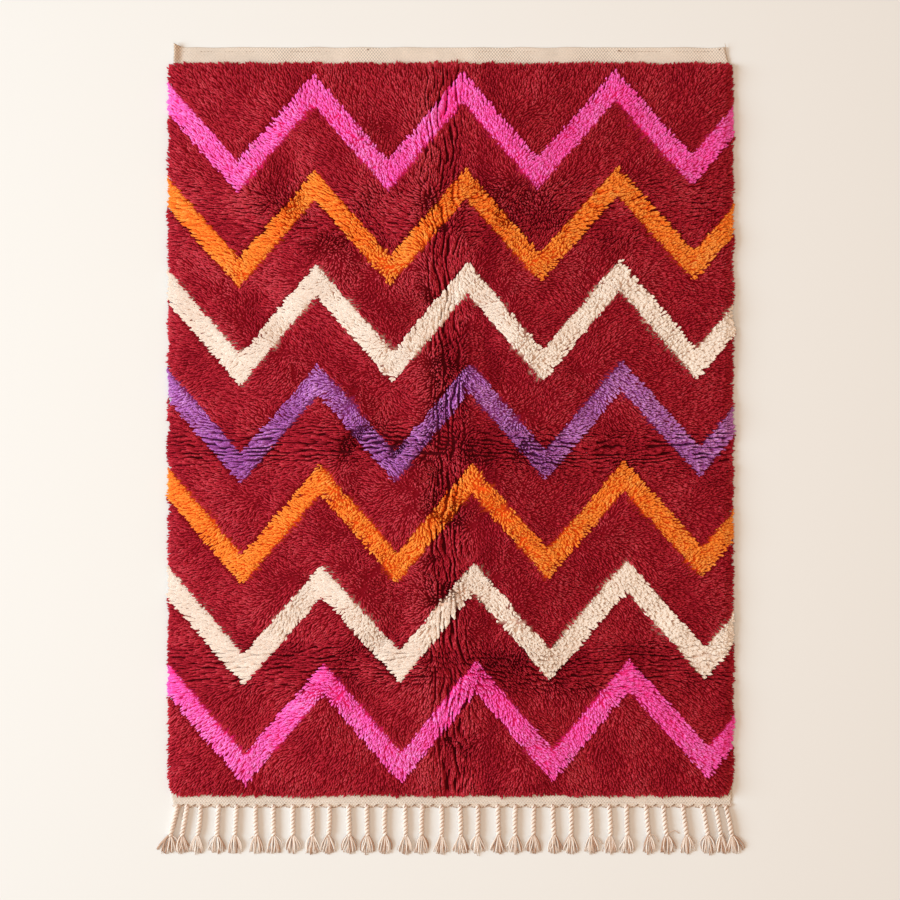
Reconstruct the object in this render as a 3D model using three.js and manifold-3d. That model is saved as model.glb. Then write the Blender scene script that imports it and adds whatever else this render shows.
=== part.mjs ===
// A shaggy hand-knotted wool rug, lying flat on the floor.
// A woven cotton ground shows as a plain hem at one end and a fringed hem at the other. The thick wool pile stands
// on it as one lumpy slab with locks at its rim and soft troughs where the rug was folded. A scalloped heading along
// the fringed hem carries twisted cords, and each cord ends in a spray of loose strands.
// Millimetres, +Z up, +Y towards the plain hem, and the origin on the floor under the rug's middle.
import * as THREE from "three";
import { mergeVertices } from "three/addons/utils/BufferGeometryUtils.js";
import Module from "manifold-3d";

const wasm = await Module();
wasm.setup();

// Driving dimensions
const pileWidth = 1400; // over the locks at both sides
const rugLength = 2002; // from the plain hem's raised corner to the ends of the fringe
const partingGap = 0.3; // between pieces that touch

const weaveThickness = 2.6;
const plainHemWidth = 39;
const raisedCorner = 12; // how far the plain hem's left corner stands past its edge
const fringeHemWidth = 22;
const foldedEdge = { width: 9, rise: 1.4 }; // the plain hem's turned edge, which is thicker

const pileLength = 1798;
const pileHeight = 19.5; // above the ground weave
const lockReach = 9; // past the pile's rim
const rimRound = 26; // how far in from the rim the pile reaches its full height
const rimWall = 6; // the height of the pile right at its rim
const rimWander = 1.6; // how unevenly the rim runs
const cornerRound = 16;

const cordRadius = 6.2;
const cordTaper = 0.72; // the share of that radius at a cord's two ends
const cordLength = 80;
const cordTurn = THREE.MathUtils.degToRad(47); // between one step of a cord and the next
const cordStep = 4;
const cordSides = 3;
const strandLength = 35;
const strandWidth = 4.2;
const strandHeight = 3.2;
const strandsPerCord = 5;

// Where the ends of the bands lie along the rug's length
const cornerTipY = rugLength / 2;
const plainEdgeY = cornerTipY - raisedCorner;
const pileTopY = plainEdgeY - plainHemWidth - lockReach / 2;
const pileBottomY = pileTopY - pileLength;
const weaveEndY = pileBottomY - lockReach / 2 - fringeHemWidth;
const headingTopY = weaveEndY - partingGap;
const strandEndY = -rugLength / 2;
const cordEndY = strandEndY + strandLength;
const cordRootY = cordEndY + cordLength;

// The edges of the ground weave, from the fringed end to the plain one. The sides draw in at both hems.
const weaveRows = [
  { y: weaveEndY, left: -687, right: 692 },
  { y: pileBottomY, left: -691, right: 694 },
  { y: 0, left: -690, right: 691 },
  { y: pileTopY, left: -687, right: 690 },
  { y: plainEdgeY - foldedEdge.width - 2, left: -685, right: 683 },
  { y: plainEdgeY - foldedEdge.width, left: -685, right: 682, raised: true },
  { y: plainEdgeY, left: -685, right: 679, raised: true },
];
const cornerSlope = 26; // how far along the edge the raised corner falls back to it

// The rug was folded once lengthwise and in quarters across, and each fold left a soft trough in the pile.
const troughs = [
  { along: "y", at: -12, depth: 6.0, halfWidth: 46, wander: 7, waves: 2.3 },
  { along: "x", at: 9, depth: 5.0, halfWidth: 42, wander: 10, waves: 1.6 },
  { along: "x", at: -556, depth: 3.6, halfWidth: 48, wander: 13, waves: 2.1 },
  { along: "x", at: 553, depth: 2.2, halfWidth: 46, wander: 9, waves: 1.3 },
];
// Broad, low lumps of the pile, each a wave across the rug
const lumps = [
  { height: 1.2, lengthX: 171, lengthY: 233, shift: 0.4 },
  { height: 1.0, lengthX: -263, lengthY: 149, shift: 2.1 },
  { height: 0.9, lengthX: 128, lengthY: -139, shift: 4.6 },
  { height: 0.6, lengthX: 88, lengthY: 311, shift: 3.3 },
];
const pileGrid = 58; // the pile's lumps are drawn on lines this far apart
const troughLines = [-0.9, -0.4, 0, 0.4, 0.9]; // extra lines across each trough, in half widths

const lockCount = { side: 30, end: 24 }; // on each long side and each end
const lock = { width: 33, height: 12, inside: 23, lean: 0.4 };

// Cords along the fringed hem: one close pair at each end and even ones between
const endPair = { outer: 676, inner: 652 };
const evenCords = { count: 28, halfSpan: 621 };
// How far the outermost cord at each end leans outwards over its length, and how fast that dies away inwards
const cordLean = { left: { reach: -19, power: 9 }, right: { reach: 16, power: 3 } };
const strandSpread = 15; // how far a cord's outer strands end to its side
const endSpread = { left: 30, right: 28 }; // the same on the free side of the outermost cords
const headingScallop = { cusp: 5, bulge: 11, height: 4.2, halfWidth: 9 };

// A wave between -1 and 1 that doesn't repeat along the numbers it is given, for hand-made unevenness
const uneven = (n) => 0.6 * Math.sin(n * 2.39 + 0.7) + 0.4 * Math.sin(n * 5.13 + 1.9);

const colours = {
  ground: { color: 0xe6d6c0, roughness: 0.95, metalness: 0 },
  pile: { color: 0x97212b, roughness: 0.95, metalness: 0 },
  fringe: { color: 0xeadccb, roughness: 0.9, metalness: 0 },
};

// Helpers

function closedGeometry(points, faces) {
  const geometry = new THREE.BufferGeometry();
  geometry.setAttribute("position", new THREE.Float32BufferAttribute(points.flat(), 3));
  geometry.setIndex(faces.flat());
  return geometry;
}

function solidOf(geometry) {
  const bare = geometry.clone();
  bare.deleteAttribute("normal");
  bare.deleteAttribute("uv");
  const merged = mergeVertices(bare, 1e-4);
  const mesh = new wasm.Mesh({
    numProp: 3,
    vertProperties: new Float32Array(merged.attributes.position.array),
    triVerts: new Uint32Array(merged.index.array),
  });
  return new wasm.Manifold(mesh);
}

function joined(solids) {
  const mesh = solids.reduce((whole, next) => whole.add(next)).getMesh();
  const geometry = new THREE.BufferGeometry();
  geometry.setAttribute("position", new THREE.BufferAttribute(mesh.vertProperties, 3));
  geometry.setIndex(new THREE.BufferAttribute(mesh.triVerts, 1));
  return geometry;
}

// A closed skin over rings of points, with a flat cap at each end. Every ring has as many points as the others, and
// they run anticlockwise when the next ring lies towards the viewer.
function loft(rings) {
  const sides = rings[0].length;
  const last = (rings.length - 1) * sides;
  const faces = [];
  for (let ring = 0; ring < rings.length - 1; ring += 1) {
    for (let side = 0; side < sides; side += 1) {
      const here = ring * sides + side;
      const next = ring * sides + ((side + 1) % sides);
      faces.push([here, next, here + sides], [next, next + sides, here + sides]);
    }
  }
  for (let side = 1; side < sides - 1; side += 1) {
    faces.push([0, side + 1, side], [last, last + side, last + side + 1]);
  }
  return closedGeometry(rings.flat(), faces);
}

// A closed slab over a grid of columns and rows. topAt and baseAt give the [x, y, z] of each crossing.
function gridSlab(columns, rows, topAt, baseAt) {
  const points = [];
  const faces = [];
  const across = columns.length;
  const count = across * rows.length;
  for (const surface of [topAt, baseAt]) {
    for (const y of rows) {
      for (const x of columns) points.push(surface(x, y));
    }
  }
  for (let row = 0; row < rows.length - 1; row += 1) {
    for (let column = 0; column < across - 1; column += 1) {
      const a = row * across + column;
      const [b, c, d] = [a + 1, a + 1 + across, a + across];
      faces.push([a, b, c], [a, c, d]);
      faces.push([a + count, c + count, b + count], [a + count, d + count, c + count]);
    }
  }
  const rim = rimOf(across, rows.length);
  rim.forEach((here, i) => {
    const next = rim[(i + 1) % rim.length];
    faces.push([here, here + count, next + count], [here, next + count, next]);
  });
  return closedGeometry(points, faces);
}

// The numbers of a grid's outer points, anticlockwise from the first
function rimOf(across, down) {
  const rim = [];
  for (let i = 0; i < across - 1; i += 1) rim.push(i);
  for (let i = 0; i < down - 1; i += 1) rim.push(i * across + across - 1);
  for (let i = across - 1; i > 0; i -= 1) rim.push((down - 1) * across + i);
  for (let i = down - 1; i > 0; i -= 1) rim.push(i * across);
  return rim;
}

// Ground weave

// The weave's left and right edges at a height along the rug
function weaveEdges(y) {
  const above = weaveRows.findIndex((row) => row.y >= y);
  const high = weaveRows[Math.max(above, 1)];
  const low = weaveRows[Math.max(above, 1) - 1];
  const share = (y - low.y) / (high.y - low.y);
  return {
    left: THREE.MathUtils.lerp(low.left, high.left, share),
    right: THREE.MathUtils.lerp(low.right, high.right, share),
  };
}

function groundWeave() {
  const columns = [0, cornerSlope / pileWidth, 0.12, 0.24, 0.36, 0.48, 0.6, 0.72, 0.84, 1];
  const rows = weaveRows.map((row) => row.y);
  const place = (share, y) => {
    const { left, right } = weaveEdges(y);
    const x = THREE.MathUtils.lerp(left, right, share);
    if (y < plainEdgeY) return [x, y];
    return [x, share === 0 ? y + raisedCorner : y + 0.8 * uneven(share * 9)];
  };
  const topAt = (share, y) => {
    const turned = weaveRows.find((row) => row.y === y).raised ? foldedEdge.rise : 0;
    return [...place(share, y), weaveThickness + turned];
  };
  const baseAt = (share, y) => [...place(share, y), 0];
  return gridSlab(columns, rows, topAt, baseAt);
}

// Pile

const pileBaseZ = weaveThickness + partingGap;
const pileHalfWidth = pileWidth / 2 - lockReach;

function troughDepth(x, y) {
  let depth = 0;
  for (const trough of troughs) {
    const [run, across] = trough.along === "y" ? [y, x] : [x, y];
    const turn = (run / 1000) * trough.waves * Math.PI;
    const middle = trough.at + trough.wander * Math.sin(turn + trough.at);
    const fall = Math.exp(-(((across - middle) / trough.halfWidth) ** 2) * 2.2);
    depth += trough.depth * fall * (0.8 + 0.2 * Math.sin(turn * 3.1 + 1));
  }
  return depth;
}

function lumpHeight(x, y) {
  return lumps.reduce(
    (sum, lump) =>
      sum + lump.height * Math.sin((x / lump.lengthX + y / lump.lengthY) * 2 * Math.PI + lump.shift),
    0,
  );
}

// How far a point lies in from the pile's rim
function inFromRim(x, y) {
  return Math.min(pileHalfWidth - Math.abs(x), pileTopY - y, y - pileBottomY);
}

// Turns the square corner of the grid into a quarter of a disc, ring by ring
function roundedCorner(x, y) {
  const past = [Math.abs(x) - pileHalfWidth + cornerRound, Math.abs(y) - pileLength / 2 + cornerRound];
  if (Math.min(...past) <= 0) return [x, y];
  const shrink = Math.max(...past) / Math.hypot(...past);
  return [
    Math.sign(x) * (Math.abs(x) - past[0] * (1 - shrink)),
    Math.sign(y) * (Math.abs(y) - past[1] * (1 - shrink)),
  ];
}

function pileTop(x, y) {
  const share = THREE.MathUtils.clamp(inFromRim(x, y) / rimRound, 0, 1);
  const full = pileHeight + lumpHeight(x, y) - troughDepth(x, y);
  return pileBaseZ + THREE.MathUtils.lerp(rimWall, full, Math.sqrt(1 - (1 - share) ** 2));
}

// Grid lines between two ends: even ones, close ones at the rim, and extra ones over the troughs
function pileLines(from, to, direction) {
  const even = Math.round((to - from) / pileGrid);
  const lines = [];
  for (let i = 1; i < even; i += 1) lines.push(from + ((to - from) * i) / even);
  const near = (line) => (other) => Math.abs(other - line) < pileGrid * 0.22;
  for (const trough of troughs.filter((one) => one.along === direction)) {
    for (const share of troughLines) {
      const line = trough.at + share * trough.halfWidth;
      const taken = lines.findIndex(near(line));
      if (taken >= 0) lines.splice(taken, 1);
      lines.push(line);
    }
  }
  const rim = [0, 5, 14, rimRound];
  lines.push(...rim.map((inset) => from + inset), ...rim.map((inset) => to - inset));
  return lines.sort((a, b) => a - b);
}

function pileSlab() {
  const columns = pileLines(-pileHalfWidth, pileHalfWidth, "y");
  const rows = pileLines(pileBottomY, pileTopY, "x");
  const middleY = (pileTopY + pileBottomY) / 2;
  const place = (x, y) => {
    const pull = THREE.MathUtils.clamp(1 - inFromRim(x, y) / rimRound, 0, 1);
    const [outX, outY] = [x / pileHalfWidth, (2 * (y - middleY)) / pileLength];
    const wander = rimWander * pull * uneven((x + y) / 37);
    const [roundX, roundY] = roundedCorner(x, y - middleY);
    return [roundX + wander * outX ** 9, middleY + roundY + wander * outY ** 9];
  };
  const topAt = (x, y) => [...place(x, y), pileTop(x, y)];
  return { columns, rows, topAt };
}

// The slab's top is its grid of lumps, and its flat base needs only the points of the rim.
function pileSlabGeometry() {
  const { columns, rows, topAt } = pileSlab();
  const points = rows.flatMap((y) => columns.map((x) => topAt(x, y)));
  const across = columns.length;
  const faces = [];
  for (let row = 0; row < rows.length - 1; row += 1) {
    for (let column = 0; column < across - 1; column += 1) {
      const a = row * across + column;
      faces.push([a, a + 1, a + 1 + across], [a, a + 1 + across, a + across]);
    }
  }
  const rim = rimOf(across, rows.length);
  const base = rim.map((number) => new THREE.Vector2(points[number][0], points[number][1]));
  const first = points.length;
  points.push(...base.map((point) => [point.x, point.y, pileBaseZ]));
  rim.forEach((here, i) => {
    const j = (i + 1) % rim.length;
    faces.push([here, first + i, first + j], [here, first + j, rim[j]]);
  });
  for (const [a, b, c] of THREE.ShapeUtils.triangulateShape(base, [])) {
    faces.push([first + a, first + c, first + b]);
  }
  return closedGeometry(points, faces);
}

// One lock of yarn that leaves the rim and droops. It starts inside the slab, where the two are joined.
function rimLock(x, y, outX, outY, number) {
  const lean = lock.lean * uneven(number);
  const [dirX, dirY] = [outX - outY * lean, outY + outX * lean];
  const size = 1 + 0.16 * uneven(number * 1.7);
  const sections = [
    { out: -lock.inside, low: 3, share: 0.85 },
    { out: 1, low: 2.4, share: 0.95 },
    { out: lockReach * (0.8 + 0.2 * size) - 0.6, low: 1.4, share: 0.4 },
  ];
  const rings = sections.map(({ out, low, share }) => {
    const middle = [x + dirX * out, y + dirY * out];
    const half = (lock.width / 2) * share * size;
    return [
      [middle[0] + outY * half, middle[1] - outX * half, pileBaseZ + low],
      [middle[0] - outY * half, middle[1] + outX * half, pileBaseZ + low],
      [middle[0], middle[1], pileBaseZ + low + lock.height * share * size],
    ];
  });
  return loft(rings);
}

function rimLocks() {
  const locks = [];
  const middleY = (pileTopY + pileBottomY) / 2;
  const spread = (count, i) => (2 * (i + 0.5)) / count - 1;
  for (const side of [-1, 1]) {
    for (let i = 0; i < lockCount.side; i += 1) {
      const y = middleY + (spread(lockCount.side, i) * pileLength) / 2;
      locks.push(rimLock(side * pileHalfWidth, y, side, 0, i + side * 50));
    }
    for (let i = 0; i < lockCount.end; i += 1) {
      const x = spread(lockCount.end, i) * pileHalfWidth;
      locks.push(rimLock(x, middleY + (side * pileLength) / 2, 0, side, i + side * 90));
    }
  }
  return locks;
}

// Fringe

// Each cord's root and how far its lower end stands to the side
function cordPlaces() {
  const even = Array.from({ length: evenCords.count }, (_, i) => {
    const share = (2 * i) / (evenCords.count - 1) - 1;
    return share * evenCords.halfSpan + 2.4 * uneven(i);
  });
  const roots = [-endPair.outer, -endPair.inner, ...even, endPair.inner + 3, endPair.outer + 4];
  const cords = roots.map((x, number) => {
    const { reach, power } = x < 0 ? cordLean.left : cordLean.right;
    const outward = reach * Math.abs(x / endPair.outer) ** power;
    const own = Math.abs(x) < endPair.inner ? 3.2 * uneven(number + 11) : 0;
    return { x, number, lean: outward + own };
  });
  // A cord's strands keep clear of those of the cords beside it
  const halfWay = (a, b) => Math.min(strandSpread, Math.abs(a.x + a.lean - b.x - b.lean) / 2 - 3.5);
  cords.forEach((cord, i) => {
    cord.spreadLeft = i > 0 ? halfWay(cord, cords[i - 1]) : endSpread.left;
    cord.spreadRight = i < cords.length - 1 ? halfWay(cord, cords[i + 1]) : endSpread.right;
  });
  return cords;
}

// The middle line of a cord, a share of the way from its root to its end
function cordMiddle(cord, share) {
  const bow = 2.2 * uneven(cord.number * 3 + 5) * Math.sin(share * Math.PI);
  const x = cord.x + cord.lean * share + bow;
  return [x, THREE.MathUtils.lerp(cordRootY, cordEndY, share)];
}

function twistedCord(cord) {
  const steps = Math.round(cordLength / cordStep);
  const rings = [];
  for (let step = 0; step <= steps; step += 1) {
    const share = step / steps;
    const [x, y] = cordMiddle(cord, share);
    const full = Math.min(1, cordTaper + Math.min(share, 1 - share) * 4);
    const radius = cordRadius * full;
    rings.push(
      Array.from({ length: cordSides }, (_, side) => {
        const angle = -Math.PI / 2 + step * cordTurn + (side * 2 * Math.PI) / cordSides;
        return [x + radius * Math.cos(angle), y, cordRadius + radius * Math.sin(angle)];
      }),
    );
  }
  return loft(rings);
}

// One loose strand: out of the cord's end, down to the floor and along it, spreading from its neighbours
function looseStrand(cord, number) {
  const fan = (2 * number) / (strandsPerCord - 1) - 1;
  const [x, y] = cordMiddle(cord, 1);
  const spread = fan * (fan < 0 ? cord.spreadLeft : cord.spreadRight);
  const drawn = 0.09 * Math.abs(fan) + Math.max(0, Math.abs(spread) - strandSpread) * 0.012;
  const reach = strandLength * (1 - drawn - 0.04 * (1 + uneven(cord.number + number)));
  const sections = [
    { side: fan * 1.4, along: -3.5, low: cordRadius - strandHeight / 2, share: 0.6 },
    { side: spread * 0.6, along: reach * 0.42, low: 0, share: 1 },
    { side: spread, along: reach, low: 0, share: 0.7 },
  ];
  const rings = sections.map(({ side, along, low, share }) => {
    const middle = x + side;
    const half = (strandWidth / 2) * share;
    return [
      [middle - half, y - along, low],
      [middle + half, y - along, low],
      [middle, y - along, low + strandHeight * share],
    ];
  });
  return loft(rings);
}

// The heading's lower edge bulges down to each cord and draws up to a cusp between two cords.
function headingStrip(cords) {
  const shape = new THREE.Shape();
  const { left, right } = weaveEdges(weaveEndY);
  const cuspY = headingTopY - headingScallop.cusp;
  const bulgeY = headingTopY - headingScallop.bulge;
  shape.moveTo(right, headingTopY);
  shape.lineTo(left, headingTopY);
  shape.lineTo(left + 1, cuspY);
  cords.forEach((cord, i) => {
    const following = cords[i + 1];
    const half = Math.min(headingScallop.halfWidth, following ? (following.x - cord.x) / 3 : 9);
    if (i > 0) shape.lineTo(cord.x - half, bulgeY + 1);
    shape.lineTo(cord.x + (i > 0 ? half : half / 2), bulgeY);
    if (following) shape.lineTo((cord.x + following.x) / 2, cuspY);
  });
  shape.lineTo(right - 1, cuspY);
  shape.closePath();
  return new THREE.ExtrudeGeometry(shape, { depth: headingScallop.height, bevelEnabled: false });
}

function fringe() {
  const cords = cordPlaces();
  const solids = [solidOf(headingStrip(cords))];
  for (const cord of cords) {
    solids.push(solidOf(twistedCord(cord)));
    for (let number = 0; number < strandsPerCord; number += 1) {
      solids.push(solidOf(looseStrand(cord, number)));
    }
  }
  return joined(solids);
}

function pile() {
  return joined([solidOf(pileSlabGeometry()), ...rimLocks().map(solidOf)]);
}

// The rug

function named(name, geometry, look) {
  const mesh = new THREE.Mesh(geometry, new THREE.MeshStandardMaterial(look));
  mesh.name = name;
  return mesh;
}

const rug = new THREE.Group();
rug.add(named("ground_weave", groundWeave(), colours.ground));
rug.add(named("pile", pile(), colours.pile));
rug.add(named("fringe", fringe(), colours.fringe));

// The fringe spreads a little further at one side, so the rug is moved to stand over its own middle.
const extent = new THREE.Box3().setFromObject(rug);
rug.position.set(-(extent.min.x + extent.max.x) / 2, -(extent.min.y + extent.max.y) / 2, 0);

export default rug;
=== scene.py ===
import bpy, math
import numpy as np
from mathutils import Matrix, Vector


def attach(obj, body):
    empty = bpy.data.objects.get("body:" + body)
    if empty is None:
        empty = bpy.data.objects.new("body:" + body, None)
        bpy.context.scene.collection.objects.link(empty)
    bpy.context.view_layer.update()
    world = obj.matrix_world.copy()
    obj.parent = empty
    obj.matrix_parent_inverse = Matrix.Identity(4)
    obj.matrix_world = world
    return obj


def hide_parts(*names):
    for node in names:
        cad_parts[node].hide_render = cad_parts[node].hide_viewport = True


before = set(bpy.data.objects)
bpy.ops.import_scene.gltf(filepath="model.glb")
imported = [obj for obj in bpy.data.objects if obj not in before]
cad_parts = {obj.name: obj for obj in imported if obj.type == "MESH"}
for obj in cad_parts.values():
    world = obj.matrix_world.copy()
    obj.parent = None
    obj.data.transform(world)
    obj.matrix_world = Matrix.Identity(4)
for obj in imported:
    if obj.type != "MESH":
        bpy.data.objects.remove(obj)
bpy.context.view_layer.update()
print("frame loaded")

# Boujaad style shag rug, flat on the floor. Metres, fringe towards -Y, plain hem towards +Y.
mm = 0.001


# small helpers

def flutter(x, y, size, seed, waves=9):
    # smooth unevenness, roughly -1 to 1, with lumps about half of size across
    rng = np.random.default_rng(seed)
    turns, shifts = rng.uniform(0, 2 * np.pi, (2, waves))
    lengths = size * rng.uniform(0.7, 1.5, waves)
    total = 0.0
    for turn, shift, length in zip(turns, shifts, lengths):
        total = total + np.sin((x * math.cos(turn) + y * math.sin(turn)) * 2 * np.pi / length + shift)
    return total * 1.1 / math.sqrt(waves)


def uneven(n):
    return 0.6 * np.sin(n * 2.39 + 0.7) + 0.4 * np.sin(n * 5.13 + 1.9)


def smooth(value, low, high):
    share = np.clip((value - low) / (high - low), 0, 1)
    return share * share * (3 - 2 * share)


def unit(vectors):
    return vectors / np.maximum(np.linalg.norm(vectors, axis=-1, keepdims=True), 1e-9)


def makeMesh(name, points, faces, material, uv, normals=None):
    # faces is one array of triangles or of quads, uv has a row for each face corner
    mesh = bpy.data.meshes.new(name)
    count, sides = faces.shape
    mesh.vertices.add(len(points))
    mesh.vertices.foreach_set("co", np.asarray(points, dtype=np.float32).ravel())
    mesh.loops.add(count * sides)
    mesh.loops.foreach_set("vertex_index", faces.astype(np.int32).ravel())
    mesh.polygons.add(count)
    mesh.polygons.foreach_set("loop_start", np.arange(0, count * sides, sides, dtype=np.int32))
    mesh.polygons.foreach_set("use_smooth", np.full(count, True))
    layer = mesh.uv_layers.new(name="OFBake")
    layer.data.foreach_set("uv", np.asarray(uv, dtype=np.float32).ravel())
    mesh.update(calc_edges=True)
    if normals is not None:
        mesh.normals_split_custom_set_from_vertices(normals.tolist())
    mesh.materials.append(material)
    piece = bpy.data.objects.new(name, mesh)
    bpy.context.collection.objects.link(piece)
    return piece


def gridFaces(cells):
    # a quad between each four neighbours in a grid of point numbers, whose rows run towards +Y
    return np.stack([cells[:-1, :-1], cells[:-1, 1:], cells[1:, 1:], cells[1:, :-1]], -1).reshape(-1, 4)


def closeSheet(top, bottom, faces, rim):
    # adds the underside and the walls between both, where rim has the numbers of the sheet's outer points
    after = np.roll(rim, -1)
    walls = np.stack([rim, rim + len(top), after + len(top), after], 1)
    return np.concatenate([top, bottom]), np.concatenate([faces, faces[:, ::-1] + len(top), walls]), walls


def settle(piece, node):
    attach(piece, "root")
    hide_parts(node)
    return piece


# material writing: a Tap is one socket, and a Recipe is one material

class Tap:
    def __init__(self, recipe, socket):
        self.recipe, self.socket = recipe, socket

    def mixed(self, how, other, swapped=False):
        # numbers go through Math, and colours through Mix
        first, second = (other, self) if swapped else (self, other)
        if self.socket.type == "VALUE":
            return self.recipe.node("ShaderNodeMath", {"operation": how}, {0: first, 1: second})
        settings = {"data_type": "RGBA", "blend_type": how}
        return self.recipe.node("ShaderNodeMix", settings, {0: 1.0, 6: first, 7: second}, 2)

    def __add__(self, other): return self.mixed("ADD", other)
    def __radd__(self, other): return self.mixed("ADD", other, True)
    def __sub__(self, other): return self.mixed("SUBTRACT", other)
    def __rsub__(self, other): return self.mixed("SUBTRACT", other, True)
    def __mul__(self, other): return self.mixed("MULTIPLY", other)
    def __rmul__(self, other): return self.mixed("MULTIPLY", other, True)
    def __truediv__(self, other): return self.mixed("DIVIDE", other)

    def curve(self, how):
        # one-sided maths such as SINE, FLOOR, FRACT or ABSOLUTE
        return self.recipe.node("ShaderNodeMath", {"operation": how}, {0: self})


class Recipe:
    def __init__(self, name, **shader):
        self.material = bpy.data.materials.new(name)
        self.material.use_nodes = True
        self.tree = self.material.node_tree
        self.shader = self.tree.nodes["Principled BSDF"]
        for socket, value in shader.items():
            self.shader.inputs[socket.replace("_", " ")].default_value = value

    def node(self, kind, settings=None, inputs=None, out=0):
        made = self.tree.nodes.new(kind)
        for key, value in (settings or {}).items():
            if key == "stops":
                ramp = made.color_ramp.elements
                while len(ramp) < len(value):
                    ramp.new(0.5)
                for stop, (place, colour) in zip(ramp, value):
                    stop.position, stop.color = place, colour
            else:
                setattr(made, key, value)
        for key, value in (inputs or {}).items():
            if isinstance(value, Tap):
                self.tree.links.new(value.socket, made.inputs[key])
            else:
                made.inputs[key].default_value = value
        return Tap(self, made.outputs[out])

    def parts(self, vector):
        split = self.node("ShaderNodeSeparateXYZ", inputs={0: vector})
        return [Tap(self, socket) for socket in split.socket.node.outputs]

    def blend(self, share, first, second):
        return self.node("ShaderNodeMix", {"data_type": "RGBA"}, {0: share, 6: first, 7: second}, 2)

    def ranged(self, value, start, end, low=0.0, high=1.0, how="SMOOTHSTEP"):
        # as value goes from start to end, the result goes from low to high
        return self.node("ShaderNodeMapRange", {"interpolation_type": how},
                         {"Value": value, 1: start, 2: end, 3: low, 4: high})

    def noise(self, where, scale, detail, settings=None):
        return self.node("ShaderNodeTexNoise", settings, {"Vector": where, "Scale": scale, "Detail": detail})

    def feed(self, socket, tap):
        self.tree.links.new(tap.socket, self.shader.inputs[socket])

    def bump(self, height, strength, distance):
        self.feed("Normal", self.node("ShaderNodeBump", inputs={"Strength": strength, "Distance": distance,
                                                                 "Height": height}))


def tone(red, green, blue, gain=1.0):
    # a colour as a photo shows it, 0 to 255, as the linear values that materials use
    def linear(c):
        c = c / 255
        return c / 12.92 if c <= 0.04045 else ((c + 0.055) / 1.055) ** 2.4
    return (*(min(1.0, linear(c) * gain) for c in (red, green, blue)), 1)


# camera first, straight above as in the photo, which spans width at the pile's level

camera = {"height": 7.0, "centre": (-0.0015, -0.0044), "width": 2.226, "level": 0.015, "sensor": 36}

eye = bpy.data.objects.new("camera", bpy.data.cameras.new("camera"))
bpy.context.collection.objects.link(eye)
eye.location = (*camera["centre"], camera["height"])
eye.data.sensor_width = camera["sensor"]
eye.data.lens = camera["sensor"] * (camera["height"] - camera["level"]) / camera["width"]
eye.data.clip_end = 60
bpy.context.scene.camera = eye


# yarn materials. A lock of yarn has its own strip in the map: U runs along it and V picks the strip,
# whose number is the yarn's tone, uneven at random and with painted light and shade in it.

strips = 64

# a yarn's colours as a photo shows them, and its locks: how broad they are, how uneven in tone, how much
# lighter to the right (red: to both sides), and how much their light comes from above
# each yarn's root colour, which its locks take towards their foot, is painted shade with a warm reddish cast
# of bounce light from the pile's depth
yarns = {
    "red": {"dark": (148, 17, 36), "mid": (172, 33, 49), "light": (188, 57, 70), "root": (128, 3, 20),
            "breadth": 1, "uneven": 0.17, "paintedSideLight": -0.1, "upright": 0.08},
    "pink": {"dark": (255, 58, 150), "mid": (255, 94, 182), "light": (255, 128, 202), "root": (246, 10, 100),
             "breadth": 1.12, "uneven": 0.12, "paintedSideLight": -0.1, "upright": 0.32},
    "orange": {"dark": (255, 106, 30), "mid": (255, 134, 48), "light": (255, 153, 72), "root": (236, 72, 14),
               "breadth": 1.12, "uneven": 0.12, "paintedSideLight": 0.06, "upright": 0.34},
    "cream": {"dark": (216, 194, 181), "mid": (226, 208, 196), "light": (239, 222, 212),
              "root": (246, 206, 184), "breadth": 1.45, "uneven": 0.07, "paintedSideLight": 0.3, "upright": 0.7},
    "purple": {"dark": (152, 74, 150), "mid": (174, 102, 176), "light": (204, 140, 206),
               "root": (124, 28, 104), "breadth": 1.04, "uneven": 0.12, "paintedSideLight": 0.18, "upright": 0.14},
}
yarnLook = {
    "gain": 1.2, "twist": 5.0, "rootShadeFade": 0.35, "fibreScale": 2.2, "bump": 0.25, "bumpDepth": 0.6 * mm,
}


def yarnMaterial(name, colours, twist=yarnLook["twist"], shadeFade=yarnLook["rootShadeFade"], grooveShade=0.0,
                 gain=yarnLook["gain"]):
    wool = Recipe(name, Roughness=0.88, Sheen_Weight=0.05, Sheen_Roughness=0.45, Specular_IOR_Level=0.14)
    wool.shader.inputs["Sheen Tint"].default_value = tone(*colours["light"])
    u, v, _ = wool.parts(wool.node("ShaderNodeUVMap", {"uv_map": "OFBake"}))
    strip = (v * strips).curve("FLOOR")
    around = (v * strips).curve("FRACT")
    toneAndShade = wool.node("ShaderNodeValToRGB", {"stops": [
        (0.0, tone(*colours["dark"], gain)), (0.55, tone(*colours["mid"], gain)),
        (1.0, tone(*colours["light"], gain))]}, {0: strip / (strips - 1)})
    # plies that turn round the lock, and fine fibres along it
    ply = ((u * twist * 2 + around) * math.pi * 2).curve("SINE") * 0.5 + 0.5
    where = wool.node("ShaderNodeCombineXYZ", inputs={0: u * 9, 1: around * 6 + strip * 1.7, 2: 0.0})
    fibre = wool.noise(where, yarnLook["fibreScale"], 2.0, {"noise_dimensions": "2D"})
    # towards its root a lock blends into the root colour: painted shade of the pile's depth
    depth = wool.ranged(u, 0.0, shadeFade * 1.6)
    shade = 0.89 + 0.08 * ply + 0.08 * fibre
    body = toneAndShade * wool.node("ShaderNodeCombineColor", inputs={0: shade, 1: shade, 2: shade})
    if grooveShade:
        # the sides of a cord's plies that face each other take the root colour: painted shade between the
        # plies
        depth = depth * wool.ranged((around - 0.5).curve("ABSOLUTE"), 0.12, 0.36, 1.0, 1.0 - grooveShade)
    wool.feed("Base Color", wool.blend(depth, tone(*colours["root"]), body))
    wool.feed("Roughness", 0.78 + 0.16 * fibre)
    wool.bump(ply * 0.6 + fibre, yarnLook["bump"], yarnLook["bumpDepth"])
    return wool.material


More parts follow.
